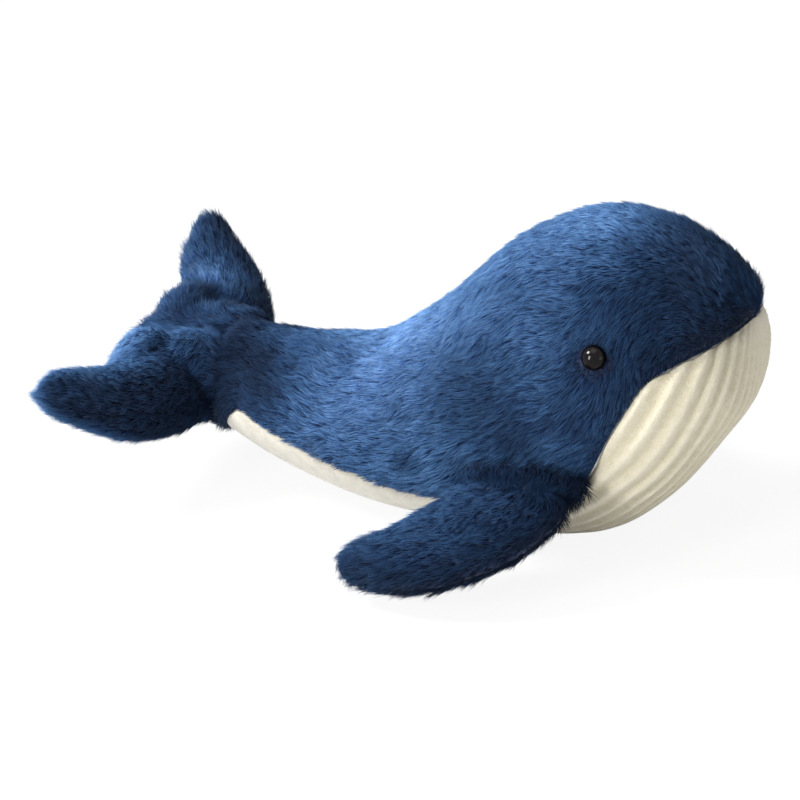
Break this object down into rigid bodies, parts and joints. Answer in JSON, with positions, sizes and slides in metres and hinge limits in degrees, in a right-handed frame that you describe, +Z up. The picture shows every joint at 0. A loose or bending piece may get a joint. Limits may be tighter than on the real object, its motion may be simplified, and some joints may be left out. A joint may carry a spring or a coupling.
{
  "type": "plush whale",
  "caption": "Stuffed plush whale with a ribbed cream throat, a plain cream belly, fur sides, two hinged flippers, a hinged tail fluke and domed eyes.",
  "frame": {"origin": "on the floor, under the centre of the whale's bounding box, in the plane of its flat resting face", "axes": "+X towards the nose, +Y to the whale's left, +Z up"},
  "size_m": [0.2796, 0.218, 0.1403],
  "materials": {
    "blue_fur": "matte",
    "ribbed_plush": "matte",
    "short_plush": "matte",
    "stuffing": "matte",
    "eye_plastic": "gloss",
    "washer_plastic": "matte"
  },
  "bodies": {
    "torso": {"side_panel_left": "blue_fur", "side_panel_right": "blue_fur", "throat_panel": "ribbed_plush", "belly_panel": "short_plush", "body_filling": "stuffing", "eye_left": "eye_plastic", "eye_right": "eye_plastic", "eye_washer_left": "washer_plastic", "eye_washer_right": "washer_plastic"},
    "flipper_left": {"flipper_left_upper_skin": "blue_fur", "flipper_left_lower_skin": "blue_fur", "flipper_left_filling": "stuffing"},
    "flipper_right": {"flipper_right_upper_skin": "blue_fur", "flipper_right_lower_skin": "blue_fur", "flipper_right_filling": "stuffing"},
    "fluke": {"fluke_left_upper_skin": "blue_fur", "fluke_left_lower_skin": "blue_fur", "fluke_left_filling": "stuffing", "fluke_right_upper_skin": "blue_fur", "fluke_right_lower_skin": "blue_fur", "fluke_right_filling": "stuffing"}
  },
  "joints": [
    {"name": "flipper_left_flap", "type": "hinge", "parent": "torso", "child": "flipper_left", "pos_m": [0.05971, 0.05001, 0.04073], "axis": [0.9938, 0.0869, 0.0698], "range_deg": [-30, 40], "stiffness_Nm_per_rad": 0.05},
    {"name": "flipper_right_flap", "type": "hinge", "parent": "torso", "child": "flipper_right", "pos_m": [0.05971, -0.05001, 0.04073], "axis": [-0.9938, 0.0869, -0.0698], "range_deg": [-30, 40], "stiffness_Nm_per_rad": 0.05},
    {"name": "fluke_bend", "type": "hinge", "parent": "torso", "child": "fluke", "pos_m": [-0.08643, 0, 0.04567], "axis": [0, 0.989, 0.1478], "range_deg": [-30, 35], "stiffness_Nm_per_rad": 0.2}
  ]
}
